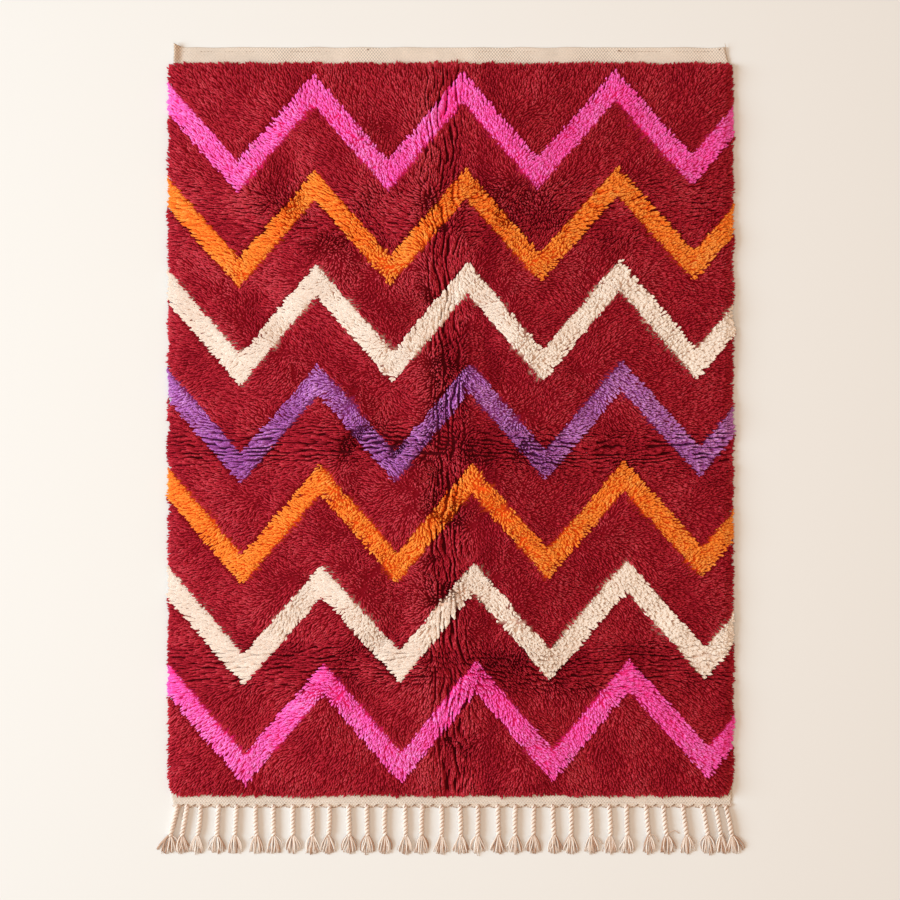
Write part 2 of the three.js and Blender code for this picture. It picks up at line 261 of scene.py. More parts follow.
def stripUv(places, marks, endGap, sideGap):
    # the face corners of one lock or cord, laid into the strip that marks gives for each of them
    uv = np.empty((len(marks), *places.shape))
    uv[..., 0] = endGap + (1 - 2 * endGap) * places[..., 0]
    uv[..., 1] = (np.asarray(marks)[:, None, None] + sideGap + (1 - 2 * sideGap) * places[..., 1]) / strips
    return uv.reshape(-1, 2)


def repeatFaces(faces, count, points):
    # the faces of one lock or cord, for all of them, each with its own number of points
    return (faces[None] + (np.arange(count) * points)[:, None, None]).reshape(-1, 3)


# the zigzag bands, by where the tips of the yarns lie

zigzag = {
    "order": ["pink", "orange", "cream", "purple", "orange", "cream", "pink"],
    "levels": [784, 548, 311, 65, -183, -431, -677], "rise": 0.0145,
    "reaches": [107, 107, 111, 109, 110, 109, 111], "halfBands": [39, 37, 39, 38, 38, 39, 40],
    # each corner's place across the rug, in the first band and in the last one, in millimetres
    "corners": [(-526, -508), (-339, -314), (-153, -122), (32, 62), (214, 254), (407, 440), (597, 635)],
    "step": 187 * mm, "unevenReach": 2 * mm, "unevenPlace": 1.5 * mm,
}
kinds = ["red", *zigzag["order"]]  # 0 is the red field, 1 to 7 are the bands


def kindsOf(name):
    return [kind for kind, other in enumerate(kinds) if other == name]


def byKind(kind, key):
    return np.array([yarns[name][key] for name in kinds])[kind]


def bandMiddle(x, row):
    share = row / (len(zigzag["order"]) - 1)
    across = [(first * (1 - share) + last * share) * mm for first, last in zigzag["corners"]]
    reach = zigzag["reaches"][row] * mm
    level = [(-reach, reach)[corner % 2] for corner in range(len(across))]
    for corner in range(len(across)):
        level[corner] += zigzag["unevenReach"] * uneven(row * 7 + corner)
        across[corner] += zigzag["unevenPlace"] * uneven(row * 5 + corner * 2 + 3)
    across = [across[0] - zigzag["step"], *across, across[-1] + zigzag["step"]]
    return zigzag["levels"][row] * mm + zigzag["rise"] * x + np.interp(x, across, [reach, *level, reach])


def yarnColour(x, y, margin=0.0):
    kind = np.zeros(len(x), dtype=int)
    for row in range(len(zigzag["order"])):
        kind[np.abs(y - bandMiddle(x, row)) < zigzag["halfBands"][row] * mm - margin] = row + 1
    return kind


# the pile's height, as on its solid

pile = {
    "halfWidth": 691 * mm, "top": 945.5 * mm, "bottom": -852.5 * mm,
    "base": 2.9 * mm, "height": 19.5 * mm, "wall": 6 * mm, "round": 26 * mm,
    "corners": {"top": 8 * mm, "bottom": 24 * mm},
}
lumps = [(1.2, 171, 233, 0.4), (1.0, -263, 149, 2.1), (0.9, 128, -139, 4.6), (0.6, 88, 311, 3.3)]
# the folds, in millimetres: first the trough that each leaves, then the ridges it parts into, and the
# painted light and shade of the lighter or darker stretches beside it: how far off, over what half width, how
# much
folds = [
    {"along": "y", "at": -12, "depth": 6.0, "halfWidth": 46, "wander": 7, "waves": 2.3,
     "shift": 2, "slant": -0.014, "spacing": 15.5, "reach": 50, "part": 0.36, "seed": 5,
     "lightAndShade": [(-48, 30, 0.45), (0, 12, -0.2), (104, 20, -0.7)]},
    {"along": "x", "at": 9, "depth": 5.0, "halfWidth": 42, "wander": 10, "waves": 1.6,
     "shift": -8, "slant": 0, "spacing": 13, "reach": 50, "part": 0.35, "seed": 6,
     "lightAndShade": [(0, 15, -0.28), (125, 50, 0.12)]},
    {"along": "x", "at": -556, "depth": 3.6, "halfWidth": 48, "wander": 13, "waves": 2.1,
     "shift": 18, "slant": 0, "spacing": 13, "reach": 60, "part": 0.28, "seed": 7,
     "lightAndShade": [(42, 36, -0.28), (125, 40, 0.1)]},
    {"along": "x", "at": 553, "depth": 2.2, "halfWidth": 46, "wander": 9, "waves": 1.3,
     "shift": 25, "slant": 0, "spacing": 12.5, "reach": 85, "part": 0.22, "seed": 8,
     "lightAndShade": [(0, 16, -0.15), (-115, 45, 0.22), (55, 40, 0.3)]},
]


def foldAt(fold, x, y):
    # how far a point lies across a fold, and how deep its trough is there, both in millimetres
    run, across = (y, x) if fold["along"] == "y" else (x, y)
    run, across = run / mm, across / mm
    turn = run / 1000 * fold["waves"] * np.pi
    off = across - fold["at"] - fold["wander"] * np.sin(turn + fold["at"])
    fall = np.exp(-((off / fold["halfWidth"]) ** 2) * 2.2)
    return run, off, fold["depth"] * fall * (0.8 + 0.2 * np.sin(turn * 3.1 + 1))


def pileTop(x, y):
    rim = np.minimum(pile["halfWidth"] - np.abs(x), np.minimum(pile["top"] - y, y - pile["bottom"]))
    share = np.clip(rim / pile["round"], 0, 1)
    full = pile["height"] / mm
    for height, lengthX, lengthY, shift in lumps:
        full = full + height * np.sin((x / mm / lengthX + y / mm / lengthY) * 2 * np.pi + shift)
    for fold in folds:
        full = full - foldAt(fold, x, y)[2]
    wall = pile["wall"] / mm
    return pile["base"] + (wall + (full - wall) * np.sqrt(1 - (1 - share) ** 2)) * mm


# where the folds were, the pile parts into wavy ridges with dark gaps between them: real gaps, with
# painted shade on the locks beside them and painted highlight on the ridges

creases = {
    "fullPart": 0.3, "paces": (0.36, 0.55), "patch": 34 * mm, "wave": 75 * mm, "waveReach": 0.5,
    "wiggle": 24 * mm, "wiggleReach": 0.26, "rimFade": (-4 * mm, 24 * mm), "ridge": 0.3,
}


# painted light and shade: the locks' tone raised or lowered in stretches beside each fold
def foldLightAndShade(x, y):
    total = np.zeros(len(x))
    for fold in folds:
        off = foldAt(fold, x, y)[1]
        for place, halfWidth, amount in fold["lightAndShade"]:
            total += amount * np.exp(-((off - place) / halfWidth) ** 2)
    return total


def creasesAt(x, y):
    # how far the tips are pulled, how near they stand to a gap (less than 0 on a ridge), and how far the
    # folds along Y and along X take hold
    pullX, pullY, gap, ridge, holdX, holdY = (np.zeros(len(x)) for _ in range(6))
    for fold in folds:
        run, off, _ = foldAt(fold, x, y)
        off = off - fold["shift"] - fold["slant"] * run
        seed = fold["seed"] * 10
        along = fold["along"] == "y"
        slow, quick = ((x, y * pace) if along else (x * pace, y) for pace in creases["paces"])
        hold = np.exp(-(off / fold["reach"]) ** 4) * min(1, fold["part"] / creases["fullPart"])
        mask = hold * np.clip(0.8 + 0.55 * flutter(*slow, creases["patch"], seed), 0, 1.1)
        mask = mask * smooth(-pastRim(x, y)[0], *creases["rimFade"])
        phase = off / fold["spacing"] + creases["waveReach"] * flutter(*slow, creases["wave"], seed + 1)
        phase = phase + creases["wiggleReach"] * flutter(*quick, creases["wiggle"], seed + 2)
        share = phase - np.round(phase)
        near = 1 - 2 * np.abs(share)
        pull = np.sign(share) * near * mask * fold["part"] * fold["spacing"] * mm
        gap = np.maximum(gap, np.minimum(mask, 1) * near ** 3)
        ridge = np.maximum(ridge, np.minimum(mask, 1) * (1 - near) ** 1.5)
        if along:
            pullX, holdX = pullX + pull, np.maximum(holdX, hold)
        else:
            pullY, holdY = pullY + pull, np.maximum(holdY, hold)
    # this lowers the tips by a gap and raises them on a ridge, and the locks' tone follows it: painted shade
    # by a gap, painted highlight on a ridge
    return pullX, pullY, gap - creases["ridge"] * ridge * (1 - gap), holdX, holdY


lean = {
    "least": 11.5 * mm, "most": 20 * mm, "edgePull": 1.3, "edgeWidth": 45 * mm, "swirl": 0.32,
    "swirlSizes": (210 * mm, 230 * mm), "whorl": 0.17, "whorlSize": 75 * mm,
}


def leanAt(x, y):
    # the pile is combed outwards from the middle, more strongly towards its edges
    endway = np.where(y > 0, y / pile["top"], -y / pile["bottom"])
    endway = endway * np.abs(endway)
    swirlX, swirlY = (lean["swirl"] * flutter(x, y, lean["swirlSizes"][axis], 11 + axis) for axis in (0, 1))
    whorlX, whorlY = (lean["whorl"] * flutter(x, y, lean["whorlSize"], 13 + axis) for axis in (0, 1))
    sideEdge = np.exp(-(pile["halfWidth"] - np.abs(x)) / lean["edgeWidth"])
    endEdge = np.exp(-np.minimum(pile["top"] - y, y - pile["bottom"]) / lean["edgeWidth"])
    edgeX = lean["edgePull"] * np.sign(x) * sideEdge * (1 - 0.5 * endEdge)
    edgeY = lean["edgePull"] * np.sign(y) * endEdge * (1 - 0.5 * sideEdge)
    wayX, wayY = x / pile["halfWidth"] + edgeX + swirlX + whorlX, endway + edgeY + swirlY + whorlY
    far = np.sqrt(wayX ** 2 + wayY ** 2)
    reach = lean["least"] + (lean["most"] - lean["least"]) * smooth(far, 0.0, 1.0)
    return wayX / (far + 0.02) * reach, wayY / (far + 0.02) * reach


def pastRim(x, y):
    # how far a point lies past the pile's rounded outline, and which way that outline faces there
    middle, half = (pile["top"] + pile["bottom"]) / 2, (pile["top"] - pile["bottom"]) / 2
    corner = np.where(y < middle, pile["corners"]["bottom"], pile["corners"]["top"])
    across, along = np.abs(x) - pile["halfWidth"] + corner, np.abs(y - middle) - half + corner
    both = (across > 0) & (along > 0)
    far = np.hypot(across, along)
    past = np.where(both, far, np.maximum(across, along)) - corner
    outX = np.where(both, across / far, across >= along) * np.sign(x)
    outY = np.where(both, along / far, across < along) * np.sign(y - middle)
    return past, outX, outY


planting = {
    "pitch": 5.25 * mm, "scatter": 0.2, "clear": 1.5 * mm, "rimPitch": 3.2 * mm, "rimInset": (1.5, 5.5),
    "seed": 41,
}


def plantPile():
    # one row for each knot, in staggered rows with a little unevenness
    rng = np.random.default_rng(planting["seed"])
    pitch, right = planting["pitch"], pile["halfWidth"] - 2 * mm
    wide = np.arange(-pile["halfWidth"] + 3 * mm, right, pitch)
    long = np.arange(pile["bottom"] + 3 * mm, pile["top"] - 2 * mm, pitch)
    x, y = np.meshgrid(wide, long)
    x = x + (np.arange(len(long)) % 2)[:, None] * pitch / 2
    x, y = x.ravel(), y.ravel()
    x = np.clip(x + rng.normal(0, planting["scatter"], len(x)) * pitch, wide[0], right)
    y = y + rng.normal(0, planting["scatter"], len(y)) * pitch
    inside = pastRim(x, y)[0] < -planting["clear"]
    x, y = x[inside], y[inside]
    # a close row of knots follows the rim
    halfLength, middle = (pile["top"] - pile["bottom"]) / 2, (pile["top"] + pile["bottom"]) / 2
    walk = np.arange(0, 4 * (pile["halfWidth"] + halfLength), planting["rimPitch"])
    cornersX = np.array([-1, 1, 1, -1, -1]) * pile["halfWidth"]
    cornersY = np.array([-1, -1, 1, 1, -1]) * halfLength + middle
    length = np.cumsum([0, 2 * pile["halfWidth"], 2 * halfLength, 2 * pile["halfWidth"], 2 * halfLength])
    rimX, rimY = np.interp(walk, length, cornersX), np.interp(walk, length, cornersY)
    past, outX, outY = pastRim(rimX, rimY)
    inset = past + rng.uniform(*planting["rimInset"], len(walk)) * mm
    return np.append(x, rimX - outX * inset), np.append(y, rimY - outY * inset), rng


lock = {
    "width": 5.3 * mm, "widthSpread": 0.18, "spinSpread": 0.5,
    "rings": [0.24, 0.84], "fat": [0.96, 0.92], "lowest": 0.3 * mm, "leftLight": 0.1,
    "clump": 2.3 * mm, "clumpSize": 18 * mm, "scatter": 1.4 * mm, "tipUneven": 0.7 * mm, "leastTip": 4.2 * mm,
    # in a fold: how far it lies along, how far it steadies, and how far roots follow and tips sink
    "foldReach": 6 * mm, "foldSteady": 0.8, "foldCross": 0.6, "rootPull": 0.7, "gapDrop": 6 * mm,
    # at the rim: how far past it a tip reaches, how that varies, and how far it sinks there
    "overhang": 7.5 * mm, "overhangWave": 2.4 * mm, "overhangSpread": 3.1 * mm, "rimDrop": 8.5 * mm,
}


def lockTips(x, y, rng):
    leanX, leanY = leanAt(x, y)
    pullX, pullY, gap, holdX, holdY = creasesAt(x, y)
    # in a fold the locks lie along it
    steady, cross = lock["foldSteady"], lock["foldCross"]
    alongX, alongY = holdY * (1 - cross * holdX), holdX * (1 - cross * holdY)
    leanX = leanX * (1 - steady * alongY) + lock["foldReach"] * alongX * np.tanh(x / (90 * mm))
    leanY = leanY * (1 - steady * alongX) + lock["foldReach"] * alongY * np.tanh(y / (90 * mm))
    count = len(x)
    clumpX, clumpY = (lock["clump"] * flutter(x, y, lock["clumpSize"], seed, 14) for seed in (21, 22))
    looseX = clumpX + rng.normal(0, lock["scatter"], count)
    looseY = clumpY + rng.normal(0, lock["scatter"], count)
    tipX = x + leanX + pullX + looseX * (1 - steady * holdX)
    tipY = y + leanY + pullY + looseY * (1 - steady * holdY)
    rootX, rootY = x + lock["rootPull"] * pullX, y + lock["rootPull"] * pullY
    # tips reach a little past the rim, and hardly further
    past, outX, outY = pastRim(tipX, tipY)
    most = lock["overhang"] + lock["overhangWave"] * flutter(x, y, 70 * mm, 23)
    most = most + rng.normal(0, lock["overhangSpread"], count)
    extra = 0.85 * np.maximum(past - most, 0)
    tipX, tipY = tipX - outX * extra, tipY - outY * extra
    tipZ = pileTop(x, y) - gap * lock["gapDrop"] - smooth(past, -16 * mm, 8 * mm) * lock["rimDrop"]
    tipZ = np.maximum(tipZ + rng.normal(0, lock["tipUneven"], count), lock["leastTip"])
    # the last value sets painted shade: darker locks by the gaps, and a little darker over the whole fold
    return np.stack([rootX, rootY, tipX, tipY, tipZ]), leanX, leanY, gap + 0.1 * np.maximum(holdX, holdY)


def growLocks(name, rows, material, upright):
    # what shows of a lock above the pile's dense foot: it bends over and thins to a blunt point
    x, y, tipX, tipY, tipZ, strip, width, spin = rows
    count = len(x)
    root = np.stack([x, y, np.full(count, pile["base"])], 1)
    reach = np.stack([tipX - x, tipY - y, np.zeros(count)], 1)
    rise = (tipZ - pile["base"])[:, None] * np.array([0, 0, 1.0])
    shares = [*lock["rings"], 1.0]
    spine = [root + reach * t ** 1.3 + rise * (1 - (1 - t) ** 1.9) * (1 - 0.05 * (t == 1.0)) for t in shares]
    side = unit(np.stack([-reach[:, 1], reach[:, 0], np.zeros(count)], 1) + 1e-6)
    # the light is softer where the pile lies towards it
    upright = upright + lock["leftLight"] * np.clip(-x / pile["halfWidth"], 0, 1)[:, None]
    up = np.array([0, 0, 1.0]) * upright
    rings, normals = [], []
    for number, fat in enumerate(lock["fat"]):
        after = unit(spine[number + 1] - spine[number])
        over = unit(np.cross(side, after))
        over = over * np.sign(over[:, 2:3] + 1e-9)
        for corner in range(3):
            angle = spin + corner * 2 * np.pi / 3
            push = side * np.cos(angle)[:, None] + over * (0.85 * np.sin(angle))[:, None]
            rings.append(spine[number] + push * (width * fat / 2)[:, None])
            normals.append(unit(push * (1 - upright) + up))
    points = np.stack(rings + [spine[2]], 1)
    points[..., 2] = np.maximum(points[..., 2], lock["lowest"])
    normals = np.stack(normals + [unit(unit(spine[2] - spine[1]) * 0.4 + up)], 1)
    # the faces of one lock, and the place of each of their corners in its strip
    faces, places = [], []
    u0, u1 = 0.0, shares[1]
    for here in range(3):
        beside = (here + 1) % 3
        v0, v1 = here / 3, (here + 1) / 3
        faces += [[here, beside, beside + 3], [here, beside + 3, here + 3], [here + 3, beside + 3, 6]]
        places += [[(u0, v0), (u0, v1), (u1, v1)], [(u0, v0), (u1, v1), (u1, v0)],
                   [(u1, v0), (u1, v1), (1.0, (v0 + v1) / 2)]]
    piece = makeMesh(name, points.reshape(-1, 3), repeatFaces(np.array(faces), count, 7), material,
                     stripUv(np.array(places), strip, 0.01, 0.08), normals.reshape(-1, 3))
    return settle(piece, "pile")


# a lock's tone, from 0 dark to 1 light, with painted shade by the folds' gaps, and how far its patches and
# the folds' painted light and shade show in the bands
shading = {"middle": 0.55, "broad": 0.18, "fine": 0.14, "gap": 0.95, "bandPatches": 0.6, "bandFoldLight": 0.2}


def buildPile():
    x, y, rng = plantPile()
    spread, leanX, leanY, gap = lockTips(x, y, rng)
    kind = yarnColour(x + 0.75 * leanX, y + 0.75 * leanY)
    red, cream = kind == 0, np.isin(kind, kindsOf("cream"))
    # a lock whose root would stand in the next colour is knotted nearer its tip, and cream locks are longer
    strayed = 0.5 * (yarnColour(x + 0.15 * leanX, y + 0.15 * leanY) != kind)
    strayed = np.where(cream & (strayed == 0), -0.25, strayed)
    spread[0] += strayed * leanX
    spread[1] += strayed * leanY
    count = len(x)
    outX = x / pile["halfWidth"]
    patches = shading["broad"] * flutter(x, y, 120 * mm, 31) + shading["fine"] * flutter(x, y, 28 * mm, 32)
    shade = shading["middle"] + patches * np.where(red, 1, shading["bandPatches"])
    # uneven at random, with painted shade by the folds' gaps and painted highlight on their ridges
    shade = shade + rng.normal(0, 1, count) * byKind(kind, "uneven") - shading["gap"] * gap
    # painted light and shade beside the folds, weaker in the bands
    shade = shade + foldLightAndShade(x, y) * np.where(red, 1, shading["bandFoldLight"])
    # painted light: the bands lighter or darker towards the right, the red darker towards both sides
    shade = shade + byKind(kind, "paintedSideLight") * np.where(red, np.abs(outX), outX)
    strip = np.clip(np.round(shade * (strips - 1)), 0, strips - 1)
    width = lock["width"] * (1 + lock["widthSpread"] * rng.normal(0, 1, count).clip(-2, 2))
    width = width * byKind(kind, "breadth")
    spin = np.pi / 2 + rng.normal(0, lock["spinSpread"], count)
    rows = np.concatenate([spread, np.stack([strip, width, spin])])
    # the red pile is in four quarters, and each other yarn is one piece
    groups = {}
    for quarter, (left, near) in enumerate([(True, False), (False, False), (True, True), (False, True)]):
        groups[f"red_{quarter + 1}"] = red & ((x < 0) == left) & ((y < 50 * mm) == near)
    for key in ("pink", "orange", "cream", "purple"):
        groups[key] = np.isin(kind, kindsOf(key))
    materials = {key: yarnMaterial("wool_" + key, colours) for key, colours in yarns.items()}
    made = []
    for group, chosen in groups.items():
        key = group.split("_")[0]
        made.append(growLocks("pile_" + group, rows[:, chosen], materials[key], yarns[key]["upright"]))
    print("pile grown:", count, "locks")
    return made


# under the locks lies their dense foot, in its yarns' dark colours and their root colours of painted shade,
# and darker in the folds as painted shade

pileFoot = {
    "columns": 92, "rows": 118, "height": 0.7, "foldDrop": 0.45, "rimFade": (-2 * mm, 16 * mm),
    "grain": 420.0, "tone": 0.56, "foldShade": 0.68, "creamFoldShade": 0.35,
}


def buildPileFoot():
    foot = Recipe("wool_foot", Roughness=0.95, Specular_IOR_Level=0.1)
    toneAndShade = foot.node("ShaderNodeVertexColor", {"layer_name": "yarn"})
    grain = foot.noise(foot.node("ShaderNodeTexCoord", out=3), pileFoot["grain"], 3.0)
    foot.feed("Base Color", toneAndShade * foot.blend(grain, (0.5, 0.5, 0.5, 1), (1, 1, 1, 1)))
    foot.bump(grain, 0.7, 2 * mm)
    across = np.linspace(-pile["halfWidth"], pile["halfWidth"], pileFoot["columns"])
    along = np.linspace(pile["bottom"], pile["top"], pileFoot["rows"])
    x, y = (axis.ravel() for axis in np.meshgrid(across, along))
    past, outX, outY = pastRim(x, y)
    x, y = x - outX * np.maximum(past, 0), y - outY * np.maximum(past, 0)
    hold = np.max(creasesAt(x, y)[3:], axis=0)
    high = (pileTop(x, y) - pile["base"]) * (pileFoot["height"] - pileFoot["foldDrop"] * hold)
    z = pile["base"] + 0.6 * mm + high * smooth(-past, *pileFoot["rimFade"])
    faces = gridFaces(np.arange(len(x)).reshape(len(along), len(across)))
    flatUv = np.stack([(x + 0.72) / 1.44, (y + 0.9) / 1.9], 1)[faces].reshape(-1, 2)
    piece = makeMesh("pile_foot", np.stack([x, y, z], 1), faces, foot.material, flatUv)
    leanX, leanY = leanAt(x, y)
    kind = yarnColour(x + 0.5 * leanX, y + 0.5 * leanY, 8 * mm)
    # painted shade: the foot takes the yarns' root and dark colours, and is darker where a fold holds
    palette = [np.add(tone(*yarns[key]["root"]), tone(*yarns[key]["dark"])) for key in kinds]
    foldShadeShare = np.where(np.isin(kind, kindsOf("cream")), pileFoot["creamFoldShade"], pileFoot["foldShade"])
    colours = np.array(palette)[kind] * (pileFoot["tone"] * (1 - foldShadeShare * hold))[:, None]
    colours[:, 3] = 1
    layer = piece.data.color_attributes.new("yarn", "FLOAT_COLOR", "POINT")
    layer.data.foreach_set("color", colours.ravel())
    return settle(piece, "pile")


# the woven ground, with both hems in one cloth

ground = {
    "thick": 2.6 * mm, "cornerRise": 11 * mm, "cornerSlope": 27 * mm, "cornerLift": 9 * mm,
    # where the plain hem begins, and where its edge wanders, is turned and is rounded off
    "hem": (950 * mm, 964 * mm), "edge": (978 * mm, 993 * mm), "turned": (981.5 * mm, 983 * mm),
    "rounded": (990.5 * mm, 993.5 * mm),
    # the left and right edge at some levels, in millimetres: level, left, right
    "rows": [(-879, -688, 695), (-862, -692, 698), (0, -690, 691), (950, -687, 690), (978, -685, 683),
             (993, -685, 679)],
}


def groundEdges(y):
    levels, left, right = np.array(ground["rows"]).T * mm
    return np.interp(y, levels, left), np.interp(y, levels, right)


weave = {
    "thread": 7.3 * mm, "twill": 4.3 * mm, "slope": 1.35, "dark": 0.76, "bump": 0.55, "bumpDepth": 0.9 * mm,
    # the upturned corner is painted darker and browner as painted shade, from the first place to the second
    "cornerShadeX": (-0.661, -0.676), "cornerShadeY": (0.94, 0.97), "cornerShadeTint": (0.97, 0.8, 0.66, 1),
}


def cottonMaterial(name, colour):
    # a fine diagonal weave, with slubs and uneven tone, and painted shade on the upturned corner
    cotton = Recipe(name, Roughness=0.92, Sheen_Weight=0.15, Sheen_Roughness=0.5, Specular_IOR_Level=0.2)
    place = cotton.node("ShaderNodeTexCoord", out=3)
    x, y, _ = cotton.parts(place)
    thread, diagonal = 2 * math.pi / weave["thread"], 2 * math.pi / weave["twill"]
    warp = (x * thread).curve("SINE")
    weft = (y * thread * 0.85).curve("SINE")
    twill = ((x + y * weave["slope"]) * diagonal).curve("SINE")
    back = ((x - y * weave["slope"]) * diagonal).curve("SINE")
    side = cotton.ranged(cotton.noise(place, 6.0, 0.0), 0.44, 0.56, 0.15, 1.0, "LINEAR")
    diamonds = twill * side + back * (1 - side)
    slub = cotton.noise(place, 260.0, 3.0)
    broad = cotton.noise(place, 14.0, 2.0)
    light, dark = tone(*colour), tone(*(c * weave["dark"] for c in colour))
    clear = cotton.ranged(y, -0.2, 0.2, 0.4, 0.75, "LINEAR")
    mix = 0.6 + 0.1 * diamonds + clear * side * (warp * weft) + 0.6 * (broad - 0.5) + 0.7 * (slub - 0.5)
    # painted shade on the upturned corner: darker and browner, less so on the weave's raised threads
    cornerShade = cotton.ranged(x, *weave["cornerShadeX"]) * cotton.ranged(y, *weave["cornerShadeY"])
    plain = cotton.blend(mix - 0.5 * cornerShade * (1 - warp * weft), dark, light)
    cotton.feed("Base Color", cotton.blend(cornerShade * 0.8, plain, plain * weave["cornerShadeTint"]))
    cotton.bump(warp * weft * 0.5 + diamonds * 0.6 + slub * 0.7, weave["bump"], weave["bumpDepth"])
    return cotton.material


def buildGround(cloth):
    # rows and columns stand closer where the hems and corners need them
    rowsY = np.concatenate([
        np.linspace(-879, -858, 7), np.linspace(-840, 920, 10), np.linspace(940, 993, 22)]) * mm
    columns = np.concatenate([
        np.linspace(0, 0.05, 16)[:-1], np.linspace(0.05, 0.95, 90), np.linspace(0.95, 1, 14)[1:]])
    share, y = (axis.ravel() for axis in np.meshgrid(columns, rowsY))
    left, right = groundEdges(y)
    x = left + (right - left) * share
    hem, edge = smooth(y, *ground["hem"]), smooth(y, *ground["edge"])
    fromLeft, fromRight = x - left, right - x
    # the left corner stands up and past the edge, the right one is pulled in
    corner = np.clip(1 - fromLeft / ground["cornerSlope"], 0, 1) ** 1.5
    wave = flutter(x, y, 160 * mm, 51)
    y = y + edge * (corner * ground["cornerRise"] + 0.7 * mm * flutter(x, y, 120 * mm, 52))
    z = ground["thick"] + 0.3 * mm * flutter(x, y, 70 * mm, 53)
    # the edge is turned and stitched, so it is thicker up to its stitches
    z = z + hem * (0.7 * mm + 0.6 * mm * wave) + smooth(y, *ground["turned"]) * 1.1 * mm
    z = z - smooth(y, *ground["rounded"]) * 0.9 * mm
    lift = hem * smooth(-fromLeft, -24 * mm, 1 * mm) * ground["cornerLift"] * (0.55 + 0.45 * edge)
    z = z + lift + hem * smooth(-fromRight, -40 * mm, -2 * mm) * 1.4 * mm
    cells = np.arange(len(x)).reshape(len(rowsY), len(columns))
    faces = gridFaces(cells)
    rim = np.concatenate([cells[0, :-1], cells[:-1, -1], cells[-1, :0:-1], cells[:0:-1, 0]])
    top, bottom = np.stack([x, y, z], 1), np.stack([x, y, lift * 0.8], 1)
    points, allFaces, walls = closeSheet(top, bottom, faces, rim)
    # the underside has its own part of the map, and a wall is coloured as the rim above it
    place = np.stack([(points[:, 0] + 0.72) / 3, (points[:, 1] + 1) / 2.1], 1)
    place[len(x):, 0] += 0.5
    uv = place[allFaces]
    uv[len(faces) * 2:] = place[walls - (walls >= len(x)) * len(x)]
    piece = makeMesh("ground_cloth", points, allFaces, cloth, uv.reshape(-1, 2))
    print("ground woven")
    return settle(piece, "ground_weave")


# round lengths of yarn: cords, strands, stitches

def sweep(lines, radii, sides, marks, turn=0.0):
    # lines is (pieces, points, 3), radii is one radius or one for each point, marks gives each piece's strip
    pieces, steps, _ = lines.shape
    radii = np.broadcast_to(radii, (pieces, steps))
    ahead = np.empty_like(lines)
    ahead[:, 1:-1] = lines[:, 2:] - lines[:, :-2]
    ahead[:, 0], ahead[:, -1] = lines[:, 1] - lines[:, 0], lines[:, -1] - lines[:, -2]
    ahead = unit(ahead)
    side = unit(np.cross(ahead, np.array([0.0, 0.0, 1.0]) + 1e-4))
    over = np.cross(side, ahead)
    turns = np.arange(sides) * 2 * np.pi / sides
    angles = (turns + np.broadcast_to(turn, (pieces, steps))[:, :, None])[..., None]
    ring = side[:, :, None] * np.cos(angles) + over[:, :, None] * np.sin(angles)
    points = lines[:, :, None] + ring * radii[:, :, None, None]
    points = np.concatenate([points.reshape(pieces, -1, 3), lines[:, :1], lines[:, -1:]], 1)
    points[..., 2] = np.maximum(points[..., 2], 0.1 * mm)
    faces, places = [], []
    for step in range(steps - 1):
        for s in range(sides):
            a, b = step * sides + s, step * sides + (s + 1) % sides
            u0, u1, v0, v1 = step / (steps - 1), (step + 1) / (steps - 1), s / sides, (s + 1) / sides
            faces += [[a, b, b + sides], [a, b + sides, a + sides]]
            places += [[(u0, v0), (u0, v1), (u1, v1)], [(u0, v0), (u1, v1), (u1, v0)]]
    # each end is closed round its middle point
    first, last, top = steps * sides, steps * sides + 1, (steps - 1) * sides
    for s in range(sides):
        a, b = s, (s + 1) % sides
        v0, v1 = s / sides, (s + 1) / sides
        faces += [[b, a, first], [top + a, top + b, last]]
        places += [[(0, v1), (0, v0), (0.01, v0)], [(1, v0), (1, v1), (0.99, v1)]]
    allFaces = repeatFaces(np.array(faces), pieces, steps * sides + 2)
    return points.reshape(-1, 3), allFaces, stripUv(np.array(places), marks, 0.005, 0.05)


def gather(name, bundles, material, node):
    # joins several swept bundles into one piece
    points, faces, uvs, start = [], [], [], 0
    for somePoints, someFaces, someUvs in bundles:
        points.append(somePoints)
        faces.append(someFaces + start)
        uvs.append(someUvs)
        start += len(somePoints)
    piece = makeMesh(name, np.concatenate(points), np.concatenate(faces), material, np.concatenate(uvs))
    return settle(piece, node)


fringe = {
    "rootY": -882 * mm, "cordLength": 79 * mm, "radius": 6.3 * mm, "turns": 4.1, "plies": 2, "plySides": 10,
    # in millimetres: the outer two cords of each side, and the cords between them
    "endPair": (676, 652), "between": 28, "span": 621, "leanLeft": (-19, 9), "leanRight": (16, 3),
    "strands": {"count": 16, "radius": 1.6 * mm, "wild": 1.0},
    "wisps": {"count": 3, "radius": 0.55 * mm, "wild": 1.7},
    "strandLength": 42.5 * mm, "strandSides": 4, "shaded": 0.38,
    "spread": 16.5 * mm, "freeSpread": (29 * mm, 26 * mm),
    # ends that curled sideways, as in the photo: the cord each leaves, its sideways reach, drop and hump
    "curled": [(5, -17, 6, 3), (7, -16, 22, 6), (8, 15, 26, 5), (23, 27, 20, 2),
               (26, 24, 14, 8), (27, 30, -7, 11), (28, 20, 18, 6), (30, 13, 6, 9)],
    # two loose threads between the first two cords: each one's start and end across, and its end's level
    "threads": [(-667, -683, -942), (-664, -667, -945)],
}


